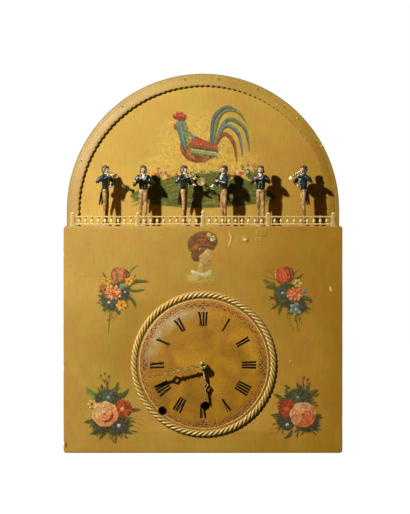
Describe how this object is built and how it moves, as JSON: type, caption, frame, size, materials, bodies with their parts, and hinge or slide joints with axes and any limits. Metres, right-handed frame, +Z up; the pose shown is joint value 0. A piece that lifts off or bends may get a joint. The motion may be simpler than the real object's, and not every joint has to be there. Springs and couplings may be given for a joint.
{
  "type": "automaton clock",
  "caption": "Arched wooden case with a round dial below a stage, where carved musicians turn to the playing of a small pipe organ driven by a pinned cylinder.",
  "frame": {"origin": "middle of the base, on the surface that the case stands on", "axes": "+X to the viewer's right, +Y from the dial to the rear door, +Z up"},
  "size_m": [0.5605, 0.2859, 0.762],
  "materials": {
    "painted_case": "aged golden paint on softwood",
    "gilt": "worn gilding",
    "brass": "satin brass",
    "steel": "satin steel",
    "case_wood": "stained pine",
    "bare_wood": "planed spruce",
    "leather": "folded sheepskin",
    "figure_paint": "painted carved wood"
  },
  "bodies": {
    "case": {"base_board": "case_wood", "case_sides": "case_wood", "front_board": "painted_case", "stage_floor": "case_wood", "seat_board": "bare_wood", "hinge_leaves": "steel", "arch_hood": "case_wood", "arch_frame": "painted_case", "arch_panel": "painted_case", "hood_rear": "case_wood", "balustrade_rails": "gilt", "balusters": "gilt", "dial_plate": "gilt", "dial_bezel": "gilt", "front_plate": "brass", "back_plate": "brass", "plate_pillars": "brass", "pendulum_cock": "brass", "cylinder_bridge": "bare_wood", "wind_chest": "bare_wood", "organ_pipes": "bare_wood", "bellows": "leather", "bar_guides": "steel"},
    "rear_door": {"rear_door": "case_wood", "door_leaves": "steel", "door_knob": "case_wood"},
    "minute_arbor": {"centre_wheel": "brass", "cannon_pinion": "brass", "minute_hand": "brass"},
    "hour_pipe": {"hour_wheel": "brass", "hour_hand": "brass"},
    "motion_wheel": {"motion_wheel": "brass"},
    "first_wheel": {"first_wheel": "brass"},
    "going_barrel": {"going_barrel": "brass"},
    "third_wheel": {"third_wheel": "brass"},
    "escape_wheel": {"escape_wheel": "brass"},
    "going_winder": {"going_winder": "steel"},
    "music_winder": {"music_winder": "steel"},
    "anchor": {"anchor": "steel"},
    "pendulum": {"pendulum_rod": "steel", "pendulum_bob": "brass"},
    "pinned_cylinder": {"pinned_cylinder": "bare_wood"},
    "music_barrel": {"music_barrel": "brass"},
    "fan_wheel": {"fan_wheel": "brass"},
    "fly": {"fly": "brass"},
    "keys": {"keys": "bare_wood"},
    "bellows_board": {"bellows_board": "bare_wood"},
    "figure_bar": {"figure_bar": "steel"},
    "musician_1": {"spindle_1": "case_wood", "musician_1": "figure_paint"},
    "musician_2": {"spindle_2": "case_wood", "musician_2": "figure_paint"},
    "musician_3": {"spindle_3": "case_wood", "musician_3": "figure_paint"},
    "musician_4": {"spindle_4": "case_wood", "musician_4": "figure_paint"},
    "musician_5": {"spindle_5": "case_wood", "musician_5": "figure_paint"},
    "musician_6": {"spindle_6": "case_wood", "musician_6": "figure_paint"}
  },
  "joints": [
    {"name": "door_hinge", "type": "hinge", "parent": "case", "child": "rear_door", "pos_m": [-0.2785, 0.108, 0.227], "axis": [0, 0, 1], "range_deg": [0, 105]},
    {"name": "minute_turn", "type": "hinge", "parent": "case", "child": "minute_arbor", "pos_m": [0, 0, 0.176], "axis": [0, 1, 0], "continuous": true},
    {"name": "hour_turn", "type": "hinge", "parent": "case", "child": "hour_pipe", "pos_m": [0, 0, 0.176], "axis": [0, 1, 0], "continuous": true},
    {"name": "motion_turn", "type": "hinge", "parent": "case", "child": "motion_wheel", "pos_m": [0.02079, 0, 0.188], "axis": [0, 1, 0], "continuous": true},
    {"name": "first_wheel_turn", "type": "hinge", "parent": "case", "child": "first_wheel", "pos_m": [0.01735, 0, 0.14242], "axis": [0, 1, 0], "continuous": true},
    {"name": "going_barrel_turn", "type": "hinge", "parent": "case", "child": "going_barrel", "pos_m": [0.005, 0, 0.095], "axis": [0, 1, 0], "continuous": true},
    {"name": "third_wheel_turn", "type": "hinge", "parent": "case", "child": "third_wheel", "pos_m": [-0.02111, 0, 0.20614], "axis": [0, 1, 0], "continuous": true},
    {"name": "escape_wheel_turn", "type": "hinge", "parent": "case", "child": "escape_wheel", "pos_m": [0, 0, 0.23177], "axis": [0, 1, 0], "continuous": true},
    {"name": "going_winder_turn", "type": "hinge", "parent": "case", "child": "going_winder", "pos_m": [0.005, 0, 0.095], "axis": [0, 1, 0], "range_deg": [0, 1620]},
    {"name": "music_winder_turn", "type": "hinge", "parent": "case", "child": "music_winder", "pos_m": [-0.081, 0, 0.085], "axis": [0, 1, 0], "range_deg": [0, 1800]},
    {"name": "pendulum_swing", "type": "hinge", "parent": "case", "child": "pendulum", "pos_m": [0, 0, 0.25977], "axis": [0, 1, 0], "range_deg": [-3, 3]},
    {"name": "anchor_swing", "type": "hinge", "parent": "case", "child": "anchor", "pos_m": [0, 0, 0.25977], "axis": [0, 1, 0], "range_deg": [-3, 3]},
    {"name": "cylinder_turn", "type": "hinge", "parent": "case", "child": "pinned_cylinder", "pos_m": [-0.12573, 0, 0.11632], "axis": [0, 1, 0], "continuous": true},
    {"name": "music_barrel_turn", "type": "hinge", "parent": "case", "child": "music_barrel", "pos_m": [-0.081, 0, 0.085], "axis": [0, 1, 0], "continuous": true},
    {"name": "fan_wheel_turn", "type": "hinge", "parent": "case", "child": "fan_wheel", "pos_m": [-0.13711, 0, 0.15882], "axis": [0, 1, 0], "continuous": true},
    {"name": "fly_turn", "type": "hinge", "parent": "case", "child": "fly", "pos_m": [-0.12781, 0, 0.18438], "axis": [0, 1, 0], "continuous": true},
    {"name": "keys_lift", "type": "hinge", "parent": "case", "child": "keys", "pos_m": [-0.07973, 0, 0.16532], "axis": [0, 1, 0], "range_deg": [0, 2.5]},
    {"name": "bellows_lift", "type": "hinge", "parent": "case", "child": "bellows_board", "pos_m": [-0.241, 0, 0.025], "axis": [0, -1, 0], "range_deg": [-7, 0], "deforming": ["bellows"]},
    {"name": "figure_bar_slide", "type": "slide", "parent": "case", "child": "figure_bar", "axis": [1, 0, 0], "range_m": [-0.005, 0.005]},
    {"name": "musician_1_turn", "type": "hinge", "parent": "case", "child": "musician_1", "pos_m": [-0.19607, -0.062, 0.454], "axis": [0, 0, -1], "range_deg": [-21, 21]},
    {"name": "musician_2_turn", "type": "hinge", "parent": "case", "child": "musician_2", "pos_m": [-0.12018, -0.062, 0.454], "axis": [0, 0, -1], "range_deg": [-21, 21]},
    {"name": "musician_3_turn", "type": "hinge", "parent": "case", "child": "musician_3", "pos_m": [-0.03795, -0.062, 0.454], "axis": [0, 0, -1], "range_deg": [-21, 21]},
    {"name": "musician_4_turn", "type": "hinge", "parent": "case", "child": "musician_4", "pos_m": [0.04208, -0.062, 0.454], "axis": [0, 0, -1], "range_deg": [-21, 21]},
    {"name": "musician_5_turn", "type": "hinge", "parent": "case", "child": "musician_5", "pos_m": [0.11605, -0.062, 0.454], "axis": [0, 0, -1], "range_deg": [-21, 21]},
    {"name": "musician_6_turn", "type": "hinge", "parent": "case", "child": "musician_6", "pos_m": [0.20212, -0.062, 0.454], "axis": [0, 0, -1], "range_deg": [-21, 21]}
  ],
  "couplings": [
    {"joint": "hour_turn", "follows": "minute_turn", "ratio": 0.083333},
    {"joint": "motion_turn", "follows": "minute_turn", "ratio": -0.33333},
    {"joint": "first_wheel_turn", "follows": "minute_turn", "ratio": -0.125},
    {"joint": "going_barrel_turn", "follows": "minute_turn", "ratio": 0.020833},
    {"joint": "third_wheel_turn", "follows": "minute_turn", "ratio": -10.5},
    {"joint": "escape_wheel_turn", "follows": "minute_turn", "ratio": 98.438},
    {"joint": "anchor_swing", "follows": "pendulum_swing", "ratio": 1},
    {"joint": "music_barrel_turn", "follows": "cylinder_turn", "ratio": -0.16667},
    {"joint": "fan_wheel_turn", "follows": "cylinder_turn", "ratio": -10},
    {"joint": "fly_turn", "follows": "cylinder_turn", "ratio": 75},
    {"joint": "musician_1_turn", "follows": "figure_bar_slide", "rad_per_m": 71.429},
    {"joint": "musician_2_turn", "follows": "figure_bar_slide", "rad_per_m": 71.429},
    {"joint": "musician_3_turn", "follows": "figure_bar_slide", "rad_per_m": 71.429},
    {"joint": "musician_4_turn", "follows": "figure_bar_slide", "rad_per_m": 71.429},
    {"joint": "musician_5_turn", "follows": "figure_bar_slide", "rad_per_m": 71.429},
    {"joint": "musician_6_turn", "follows": "figure_bar_slide", "rad_per_m": 71.429}
  ]
}
